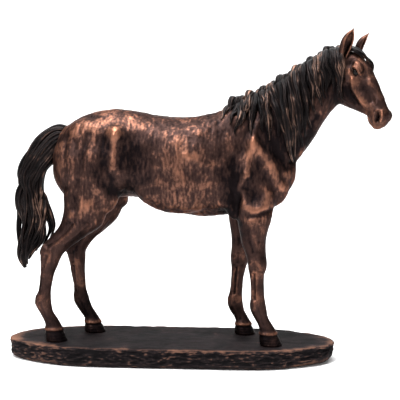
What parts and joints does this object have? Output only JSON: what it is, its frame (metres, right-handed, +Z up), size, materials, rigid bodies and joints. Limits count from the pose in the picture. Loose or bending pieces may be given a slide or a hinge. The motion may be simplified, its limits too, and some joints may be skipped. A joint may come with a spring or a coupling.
{
  "type": "horse statuette",
  "caption": "Standing horse with turned head, flowing mane and long tail, in copper-brushed dark bronze finish on a long hewn plinth.",
  "frame": {"origin": "centre of the plinth's underside, on the face of the felt that rests on the table", "axes": "+X the way the horse's body faces, along the plinth; +Y the horse's left side; +Z up"},
  "size_m": [0.2943, 0.08, 0.2581],
  "materials": {
    "coat_bronze": "dark brown patina dry-brushed with copper on the raised forms",
    "hair_bronze": "near-black patina with faint copper on the strand ridges",
    "plinth_bronze": "dark patina, hewn sides, copper worn through at the edge",
    "fastener_steel": "zinc-plated steel",
    "felt": "black felt"
  },
  "bodies": {
    "root": {"plinth": "plinth_bronze", "felt": "felt", "torso": "coat_bronze", "neck": "coat_bronze", "head": "coat_bronze", "right_ear": "coat_bronze", "left_ear": "coat_bronze", "mane": "hair_bronze", "forelock": "hair_bronze", "tail": "hair_bronze", "right_fore_leg": "coat_bronze", "left_fore_leg": "coat_bronze", "right_hind_leg": "coat_bronze", "left_hind_leg": "coat_bronze", "right_fore_screw": "fastener_steel", "left_fore_screw": "fastener_steel", "right_hind_screw": "fastener_steel", "left_hind_screw": "fastener_steel", "right_fore_washer": "fastener_steel", "left_fore_washer": "fastener_steel", "right_hind_washer": "fastener_steel", "left_hind_washer": "fastener_steel", "neck_dowel_upper": "fastener_steel", "neck_dowel_lower": "fastener_steel", "head_dowel": "fastener_steel", "tail_dowel": "fastener_steel", "right_fore_leg_dowel": "fastener_steel", "left_fore_leg_dowel": "fastener_steel", "right_hind_leg_dowel": "fastener_steel", "left_hind_leg_dowel": "fastener_steel"}
  },
  "joints": []
}
